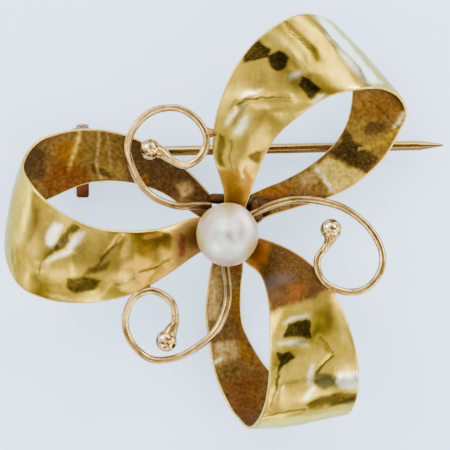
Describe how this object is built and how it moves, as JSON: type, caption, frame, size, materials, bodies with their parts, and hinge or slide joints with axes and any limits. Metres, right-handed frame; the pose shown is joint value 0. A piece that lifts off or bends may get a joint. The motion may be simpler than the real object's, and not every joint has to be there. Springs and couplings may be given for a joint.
{
  "type": "pearl brooch",
  "caption": "Gold ribbon bow brooch with ribbon loops, wire scrolls with ball ends, a central pearl, and a hinged pin with a catch.",
  "frame": {"origin": "on the surface that the brooch lies on, under the middle of its outline", "axes": "+X along the pin towards its point, +Y up the front, +Z away from the surface, out of the front"},
  "size_m": [0.0441, 0.0416, 0.0126],
  "materials": {
    "polished_gold": "polished yellow gold, dented and tarnished inside",
    "pearl": "cream pearl with pink and green lustre",
    "rose_gold": "worn rose gold"
  },
  "bodies": {
    "brooch": {"bow": "polished_gold", "pearl": "pearl", "hinge_leaf": "rose_gold", "hinge_rivet": "rose_gold"},
    "pin": {"pin_stem": "rose_gold"}
  },
  "joints": [
    {"name": "pin_hinge", "type": "hinge", "parent": "brooch", "child": "pin", "pos_m": [-0.0142, 0.0069, 0.00145], "axis": [0, 0.9397, 0.342], "range_deg": [0, 95]}
  ]
}
